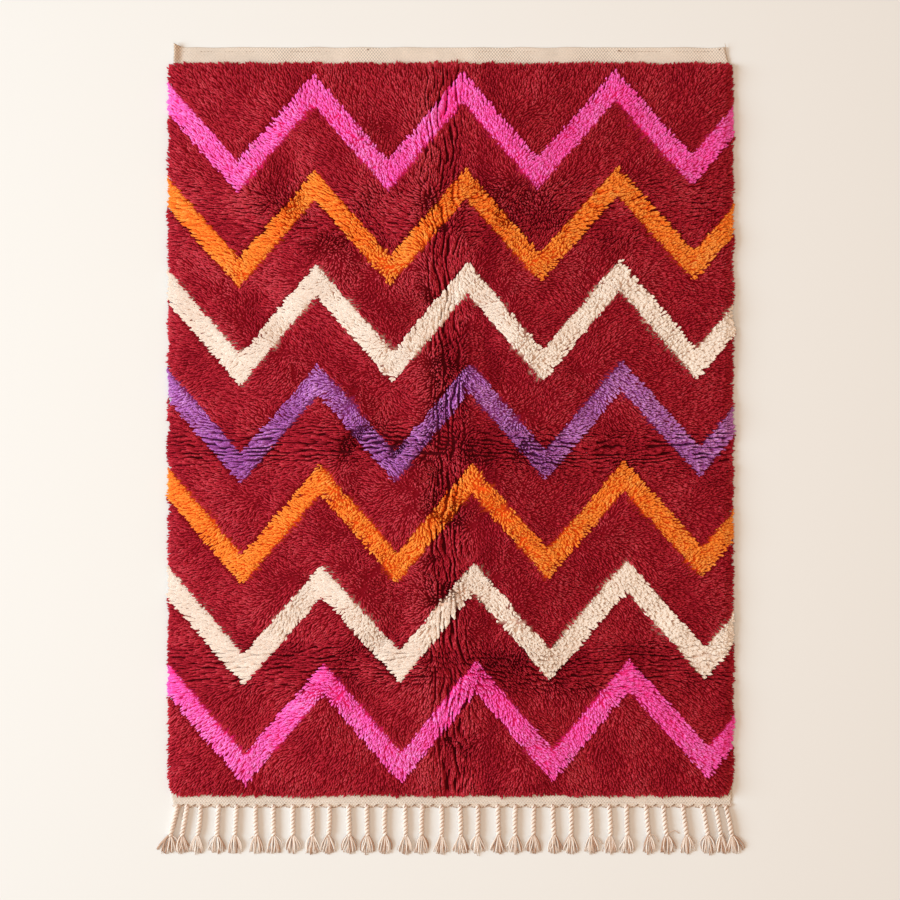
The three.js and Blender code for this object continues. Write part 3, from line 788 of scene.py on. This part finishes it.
def cordPlaces():
    # where each cord starts and how far its end stands to the side, as in the solids
    outer, inner = fringe["endPair"]
    count = fringe["between"]
    even = [(2 * i / (count - 1) - 1) * fringe["span"] + 2.4 * uneven(i) for i in range(count)]
    roots = [-outer, -inner, *even, inner + 3, outer + 4]
    cords = []
    for number, x in enumerate(roots):
        reach, power = fringe["leanLeft"] if x < 0 else fringe["leanRight"]
        own = 3.2 * uneven(number + 11) if abs(x) < inner else 0
        cords.append({"x": x * mm, "lean": (reach * abs(x / outer) ** power + own) * mm, "number": number})
    # how far its loose strands spread to the left and right
    ends = [cord["x"] + cord["lean"] for cord in cords]
    gaps = [min(fringe["spread"], (after - before) * 0.55) for before, after in zip(ends, ends[1:])]
    freeLeft, freeRight = fringe["freeSpread"]
    for cord, left, right in zip(cords, [freeLeft, *gaps], [*gaps, freeRight]):
        cord["left"], cord["right"] = left, right
    return cords


def cordLine(cord, share):
    bow = 2.2 * mm * uneven(cord["number"] * 3 + 5) * np.sin(share * np.pi)
    x = cord["x"] + cord["lean"] * share + bow
    y = fringe["rootY"] - fringe["cordLength"] * share
    z = 1.03 * fringe["radius"] * (1 - 0.72 * np.exp(-share * 16)) - 1.1 * mm * smooth(share, 0.9, 1.0)
    return np.stack([x, y, z + 0 * share], -1)


def buildCords(cords, material):
    share = np.linspace(0, 1, 42)
    lines, radii, marks, twist = [], [], [], []
    for cord in cords:
        middle = cordLine(cord, share)
        fat = np.clip(0.4 + share * 7, 0.4, 1) * (1 - 0.22 * smooth(share, 0.9, 1.0))
        loosen = 1 + 0.1 * uneven(cord["number"] * 1.9 + share * 3)
        turns = fringe["turns"] * (1 + 0.08 * uneven(cord["number"] * 2.7))
        for ply in range(fringe["plies"]):
            angle = 2 * np.pi * (turns * share + ply / fringe["plies"]) + cord["number"] * 1.3
            offset = fringe["radius"] * 0.51 * fat
            around = np.stack([np.cos(angle) * offset, 0 * angle, np.sin(angle) * offset], -1)
            lines.append(middle + around)
            twist.append(-angle)
            radii.append(fringe["radius"] * 0.56 * fat * loosen)
            marks.append(40 + (cord["number"] * 13 + ply * 7) % 20)
    bundle = sweep(np.array(lines), np.array(radii), fringe["plySides"], marks, np.array(twist))
    print("cords twisted")
    return gather("fringe_cords", [bundle], material, "fringe")


def buildStrands(cords, material):
    rng = np.random.default_rng(77)
    share = np.linspace(0, 1, 9)
    bundles = []
    for sort in (fringe["strands"], fringe["wisps"]):
        count, radius, wild = sort["count"], sort["radius"], sort["wild"]
        lines, radii, marks = [], [], []
        for cord in cords:
            end = cordLine(cord, np.array([1.0]))[0]
            slant = cord["lean"] / fringe["cordLength"]
            for number in range(count):
                fan = 2 * (number + 0.5) / count - 1 + 0.16 * rng.normal()
                spread = fan * (cord["left"] if fan < 0 else cord["right"]) * min(1.25, wild)
                reach = fringe["strandLength"] * (1 - 0.16 * fan * fan + 0.05 * rng.normal())
                reach = reach - max(0, abs(spread) - 16 * mm) * 0.45
                curl = 1.6 * mm * wild * rng.normal() * np.sin(share * np.pi * 1.3)
                opened = 1 - (1 - share) ** 1.7
                x = end[0] + fan * 2.2 * mm + spread * opened + curl + 0.4 * slant * reach * share
                y = end[1] + 4 * mm - (reach + 4 * mm) * share
                layer = rng.uniform(0, 1)
                arch = layer * 4.2 * mm * np.sin(share * np.pi) ** 1.2
                high = end[2] * (1 - share) ** 1.4 + radius * 1.05 + arch
                lines.append(np.stack([x, y, np.maximum(high, radius)], -1))
                # the lower strands take the dark end of the yarn: painted shade between the strands
                shaded = layer < fringe["shaded"]
                radii.append(radius * (1.2 if shaded else 1.0) * (1 - 0.35 * smooth(share, 0.7, 1.0)))
                marks.append(rng.integers(0, 14) if shaded else rng.integers(34, 62))
        bundles.append(sweep(np.array(lines), np.array(radii), fringe["strandSides"], marks))
    for number, across, drop, hump in fringe["curled"]:
        end = cordLine(cords[number], np.array([1.0]))[0]
        x = end[0] + across * mm * share
        y = end[1] - drop * mm * share ** 1.4 + hump * mm * np.sin(share * np.pi)
        z = 1.5 * mm + 4 * mm * (1 - share) + 1.5 * mm * np.sin(share * np.pi)
        bundles.append(sweep(np.stack([x, y, z], -1)[None], 1.2 * mm, 6, [40]))
    for x0, x1, y1 in fringe["threads"]:
        x = (x0 + (x1 - x0) * share) * mm
        y = (-884 + (y1 + 884) * share) * mm
        bundles.append(sweep(np.stack([x, y, 2.2 * mm + 0 * share], -1)[None], 1.0 * mm, 5, [50]))
    print("fringe ends spread")
    return gather("fringe_ends", bundles, material, "fringe")


heading = {
    "top": -877 * mm, "level": -879.3 * mm, "bulge": 11.5 * mm, "cusp": 5 * mm, "thick": 3.3 * mm,
    "roll": 1.25 * mm, "ends": (-0.6878, 0.6948), "endCusps": (-0.688, 0.695), "columns": 430, "rows": 6,
    "stitchStep": 6.9 * mm, "stitchRadius": 0.75 * mm, "drawnRadius": 1.15 * mm,
}


def headingEdge(x, cords):
    # the lower edge hangs lowest at each cord and draws up to a cusp a little past halfway to the next
    roots = np.array([cord["x"] for cord in cords])
    first, last = heading["endCusps"]
    cusps = np.concatenate([[first], roots[:-1] * 0.47 + roots[1:] * 0.53, [last]])
    cell = np.clip(np.searchsorted(cusps, x) - 1, 0, len(roots) - 1)
    share = np.clip((x - cusps[cell]) / (cusps[cell + 1] - cusps[cell]), 0, 1)
    sag = np.sin(np.pi * share) ** 0.42
    depth = heading["cusp"] + (heading["bulge"] - heading["cusp"]) * sag - 1.2 * mm * (share - 0.5)
    return heading["level"] - depth, cusps


def buildHeading(cords, cloth, yarn, thread):
    across = np.linspace(*heading["ends"], heading["columns"])
    low, cusps = headingEdge(across, cords)
    rowShares = np.linspace(0, 1, heading["rows"])[:, None]
    x = np.repeat(across[None], heading["rows"], 0)
    y = heading["top"] + (low - heading["top"])[None] * rowShares
    z = heading["thick"] + 0.3 * mm * flutter(x, y, 40 * mm, 61) - 1.2 * mm * (rowShares > 0.9)
    top = np.stack([x, y, z], -1).reshape(-1, 3)
    cells = np.arange(len(top)).reshape(heading["rows"], -1)
    faces = np.stack([cells[:-1, :-1], cells[1:, :-1], cells[1:, 1:], cells[:-1, 1:]], -1).reshape(-1, 4)
    rim = np.concatenate([cells[0, ::-1], cells[1:, 0], cells[-1, 1:], cells[-2:0:-1, -1]])
    points, allFaces, _ = closeSheet(top, top * np.array([1, 1, 0]), faces, rim)
    place = np.stack([(points[:, 0] + 0.72) / 1.44, (points[:, 1] + 0.9) / 0.05], 1)
    place[len(top):, 1] += 1.2
    strip = makeMesh("fringe_heading", points, allFaces, cloth, (place[allFaces] / 4).reshape(-1, 2))
    settle(strip, "fringe")
    # a thin twined thread binds the edge: each length starts under the one before and ends over the next
    share = np.linspace(0, 1, 13)
    lines, marks = [], []
    for i, (start, end) in enumerate(zip(cusps[:-1], cusps[1:])):
        x = start - 1.0 * mm + (end - start + 3.4 * mm) * share
        y, _ = headingEdge(x, cords)
        y = y + 2.6 * mm * smooth(share, 0.86, 1.0) + 0.4 * mm
        z = 1.4 * mm + 2.3 * mm * smooth(share, 0.5, 1.0)
        lines.append(np.stack([x, y, z], -1))
        marks.append(16 + (i * 11) % 16)
    rolls = [sweep(np.array(lines), heading["roll"], 6, marks)]
    edge = gather("fringe_binding", rolls, yarn, "fringe")
    # brown overcast stitches on the edge, and a longer one that draws up each cusp
    share = np.linspace(0, 1, 4)
    starts = np.concatenate([np.arange(start + 5 * mm, end - 6 * mm, heading["stitchStep"])
                             for start, end in zip(cusps[:-1], cusps[1:])])
    x = starts[:, None] + 3.4 * mm * share
    y = headingEdge(x, cords)[0] + 0.5 * mm + 0.7 * mm * share
    over = np.stack([x, y, heading["thick"] + 0.5 * mm + 0 * x], -1)
    x = cusps[1:-1, None] + (7 * share - 4.6) * mm
    y = headingEdge(cusps[1:-1, None] + 0 * x, cords)[0] + (4.4 * share - 2.6) * mm
    drawn = np.stack([x, y, heading["thick"] + (0.7 + 0.8 * share) * mm + 0 * x], -1)
    lines = np.concatenate([over, drawn])
    stitch = np.arange(len(lines)) < len(over)
    radii = np.where(stitch, heading["stitchRadius"], heading["drawnRadius"])[:, None]
    marks = [(i * 23) % 40 for i in range(len(over))] + [2] * len(drawn)
    stitches = gather("fringe_stitches", [sweep(lines, radii, 5, marks)], thread, "fringe")
    print("heading bound")
    return [strip, edge, stitches]


# in millimetres: the row of small stitches, and each knot's place and drop
hemStitch = {
    "first": -672.0, "last": 668, "level": 982.2, "length": 4.2, "step": 8.6, "radius": 0.5 * mm,
    "knots": [(-207, -3), (415, 3), (664, -4)], "knotRadius": 1.2 * mm, "threadRadius": 0.65 * mm,
}


def buildStitches(yarn):
    # a row of small stitches holds the turned edge, and a thread stands out at the right corner
    share = np.linspace(0, 1, 5)
    lines, x, number = [], hemStitch["first"], 0
    while x < hemStitch["last"]:
        length = hemStitch["length"] + 0.8 * uneven(number)
        y = hemStitch["level"] + 0.5 * uneven(number * 1.7)
        if uneven(number * 0.37) > -0.55:
            arch = 3.35 + 0.5 * np.sin(share * np.pi)
            lines.append(np.stack([x + length * share, y + 0.8 * share, arch], -1) * mm)
        x += hemStitch["step"] + 0.9 * uneven(number * 3.1)
        number += 1
    marks = [(i * 29) % 50 for i in range(len(lines))]
    stitches = sweep(np.array(lines), hemStitch["radius"], 5, marks)
    knots = np.stack([np.stack([at + 5 * share, 986 - drop * share, 4.6 + 0 * share], -1) * mm
                      for at, drop in hemStitch["knots"]])
    knots = sweep(knots, hemStitch["knotRadius"], 5, [6, 2, 0])
    curve = [678 + 3 * share + 2.2 * np.sin(share * 4), 984 + 18 * share ** 0.8, 4 + 2.5 * share]
    loose = sweep(np.stack(curve, -1)[None] * mm, hemStitch["threadRadius"], 5, [63])
    return gather("hem_stitches", [stitches, knots, loose], yarn, "ground_weave")


# a plain pale floor and soft light
room = {
    "floor": (0.775, 0.77, 0.778, 1), "floorSize": 44, "floorLevel": -0.4 * mm,
    "sky": (1.0, 0.7, 0.46, 1), "skyPower": 0.555,
    "lights": [
        {"name": "window", "at": (-10.5, 0.6, 5.1), "size": 7.0, "power": 1770, "colour": (0.69, 0.9, 1.0)},
        {"name": "ceiling", "at": (-0.2, 0.0, 4.6), "size": 3.4, "power": 66, "colour": (1.0, 0.87, 0.74)},
    ],
}


def buildRoom():
    plaster = Recipe("pale_floor", Roughness=0.9, Specular_IOR_Level=0.15)
    plaster.shader.inputs["Base Color"].default_value = room["floor"]
    bpy.ops.mesh.primitive_plane_add(size=room["floorSize"], location=(0, 0, room["floorLevel"]))
    floor = bpy.context.object
    floor.name = "floor"
    floor.data.materials.append(plaster.material)
    for light in room["lights"]:
        lamp = bpy.data.objects.new(light["name"], bpy.data.lights.new(light["name"], "AREA"))
        bpy.context.collection.objects.link(lamp)
        lamp.location = light["at"]
        lamp.rotation_euler = (-Vector(light["at"])).to_track_quat("-Z", "Y").to_euler()
        lamp.data.shape = "DISK"
        lamp.data.size = light["size"]
        lamp.data.energy = light["power"]
        lamp.data.color = light["colour"]
    world = bpy.data.worlds.new("room")
    world.use_nodes = True
    world.node_tree.nodes["Background"].inputs[0].default_value = room["sky"]
    world.node_tree.nodes["Background"].inputs[1].default_value = room["skyPower"]
    bpy.context.scene.world = world
    bpy.context.scene.view_settings.view_transform = "Standard"
    print("room lit")


fringeYarn = {"dark": (188, 148, 124), "mid": (231, 210, 197), "light": (244, 231, 222),
              "root": (170, 114, 82)}
stitchYarn = {"dark": (142, 104, 78), "mid": (172, 136, 108), "light": (206, 176, 150), "root": (130, 95, 70)}

cotton = cottonMaterial("cotton_ground", (240, 224, 211))
undyed = yarnMaterial("wool_undyed", fringeYarn, twist=7.0, shadeFade=0.02, gain=0.98)
corded = yarnMaterial("wool_corded", fringeYarn, twist=26.0, shadeFade=0.02, grooveShade=0.95, gain=0.96)
stitched = yarnMaterial("wool_stitched", stitchYarn, twist=2.0, shadeFade=0.02, gain=0.9)
pieces = buildPile()
pieces.append(buildPileFoot())
cords = cordPlaces()
pieces.append(buildCords(cords, corded))
pieces.append(buildStrands(cords, undyed))
pieces += buildHeading(cords, cotton, undyed, stitched)
pieces.append(buildStitches(stitched))
clothPiece = buildGround(cotton)
buildRoom()

triangles = {}
for piece in (*pieces, clothPiece):
    triangles[piece.name] = sum(len(face.vertices) - 2 for face in piece.data.polygons)
print("triangles", sum(triangles.values()), triangles)
